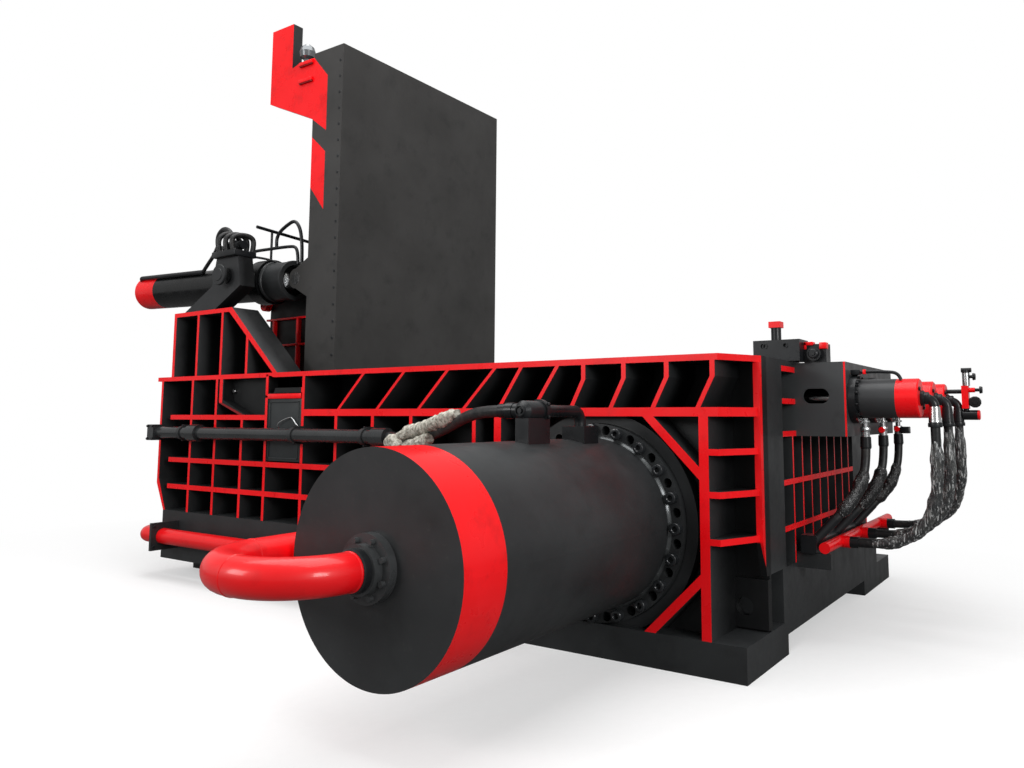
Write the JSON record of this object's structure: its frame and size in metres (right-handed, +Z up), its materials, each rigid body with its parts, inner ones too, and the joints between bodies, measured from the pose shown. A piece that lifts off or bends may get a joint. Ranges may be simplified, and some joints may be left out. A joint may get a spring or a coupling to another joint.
{
  "type": "recycling baler",
  "caption": "Hydraulic scrap baler: ribbed press box with a hinged lid, a side pusher, a large main cylinder, lock bolts for the lid and a sliding discharge door.",
  "frame": {"origin": "on the floor under the axis of the main cylinder, on the underside of the near foot", "axes": "+X along the machine towards its locking end, +Y across it and away from the main cylinder, +Z up"},
  "size_m": [8.704, 6.1949, 5.39],
  "materials": {
    "black_pipe": "semi-gloss black paint over steel tube",
    "black_rubber": "hose cover",
    "cast_black": "black machined valve body",
    "dark_paint": "satin dark grey paint over steel",
    "ground_steel": "ground and hard plated steel rod",
    "nylon": "pale cast nylon",
    "red_paint": "gloss red paint over steel",
    "worn_steel": "scuffed wear plate"
  },
  "bodies": {
    "frame": {"base_frame": "dark_paint", "base_pipe": "red_paint", "base_pipe_brackets": "dark_paint", "cap_port_flange": "cast_black", "chamber_floor": "worn_steel", "deck_valve": "cast_black", "door_cylinder": "dark_paint", "door_frame": "dark_paint", "end_valve": "cast_black", "far_inner_tower": "dark_paint", "far_outer_tower": "dark_paint", "far_side_wall": "dark_paint", "feed_pipe": "red_paint", "front_manifold": "black_pipe", "hinge_bearings": "cast_black", "hose_ferrules": "cast_black", "housing_roof": "dark_paint", "left_end_wall": "dark_paint", "lock_cylinder_1": "dark_paint", "lock_cylinder_2": "dark_paint", "lock_cylinder_3": "dark_paint", "lock_hoses": "black_rubber", "lock_housing": "dark_paint", "main_cylinder": "dark_paint", "main_flange_bolts": "cast_black", "manifold_brackets": "dark_paint", "near_inner_tower": "dark_paint", "near_outer_tower": "dark_paint", "near_side_wall": "dark_paint", "press_end_liner": "worn_steel", "rear_manifold": "red_paint", "right_end_wall": "dark_paint", "side_cylinder": "dark_paint", "top_beam": "dark_paint", "top_valve": "cast_black", "wall_hose": "black_rubber", "wall_pipe": "black_pipe", "wall_pipe_saddles": "dark_paint", "wall_stiffener": "dark_paint"},
    "lid": {"lid": "dark_paint", "lug_pin_ends": "ground_steel", "lid_hinge_shaft": "ground_steel", "lid_hook": "dark_paint", "landing_buffer": "nylon"},
    "near_lid_barrel": {"near_lid_cylinder": "dark_paint"},
    "near_lid_piston": {"near_lid_rod": "ground_steel", "near_eye_pin": "ground_steel"},
    "far_lid_barrel": {"far_lid_cylinder": "dark_paint"},
    "far_lid_piston": {"far_lid_rod": "ground_steel", "far_eye_pin": "ground_steel"},
    "ram": {"main_ram": "ground_steel", "press_platen": "worn_steel"},
    "pusher": {"side_pusher": "dark_paint", "side_ram": "ground_steel"},
    "bolt_1": {"lock_bolt_1": "ground_steel"},
    "bolt_2": {"lock_bolt_2": "ground_steel"},
    "bolt_3": {"lock_bolt_3": "ground_steel"},
    "door": {"discharge_door": "dark_paint", "door_rod": "ground_steel"}
  },
  "joints": [
    {"name": "lid_hinge", "type": "hinge", "parent": "frame", "child": "lid", "pos_m": [-3.3, 0, 1.76], "axis": [0, 1, 0], "range_deg": [0, 90]},
    {"name": "near_trunnion", "type": "hinge", "parent": "frame", "child": "near_lid_barrel", "pos_m": [-4.093, 0.19, 2.822], "axis": [0, 1, 0], "range_deg": [0, 21.3]},
    {"name": "near_lid_stroke", "type": "slide", "parent": "near_lid_barrel", "child": "near_lid_piston", "axis": [0.9994, 0, -0.0345], "range_m": [0, 1.47856]},
    {"name": "far_trunnion", "type": "hinge", "parent": "frame", "child": "far_lid_barrel", "pos_m": [-4.093, 2.33, 2.822], "axis": [0, 1, 0], "range_deg": [0, 21.3]},
    {"name": "far_lid_stroke", "type": "slide", "parent": "far_lid_barrel", "child": "far_lid_piston", "axis": [0.9994, 0, -0.0345], "range_m": [0, 1.47856]},
    {"name": "main_stroke", "type": "slide", "parent": "frame", "child": "ram", "axis": [0, 1, 0], "range_m": [0, 1.25]},
    {"name": "pusher_stroke", "type": "slide", "parent": "frame", "child": "pusher", "axis": [1, 0, 0], "range_m": [0, 2.43]},
    {"name": "lock_1_stroke", "type": "slide", "parent": "frame", "child": "bolt_1", "axis": [-1, 0, 0], "range_m": [0, 0.2]},
    {"name": "lock_2_stroke", "type": "slide", "parent": "frame", "child": "bolt_2", "axis": [-1, 0, 0], "range_m": [0, 0.2]},
    {"name": "lock_3_stroke", "type": "slide", "parent": "frame", "child": "bolt_3", "axis": [-1, 0, 0], "range_m": [0, 0.2]},
    {"name": "door_stroke", "type": "slide", "parent": "frame", "child": "door", "axis": [-1, 0, 0], "range_m": [0, 1.2]}
  ],
  "couplings": [
    {"joint": "near_trunnion", "follows": "lid_hinge", "ratio": 0.23657},
    {"joint": "near_lid_stroke", "follows": "lid_hinge", "m_per_rad": 0.94115},
    {"joint": "far_trunnion", "follows": "lid_hinge", "ratio": 0.23657},
    {"joint": "far_lid_stroke", "follows": "lid_hinge", "m_per_rad": 0.94115},
    {"joint": "lock_2_stroke", "follows": "lock_1_stroke", "ratio": 1},
    {"joint": "lock_3_stroke", "follows": "lock_1_stroke", "ratio": 1}
  ]
}
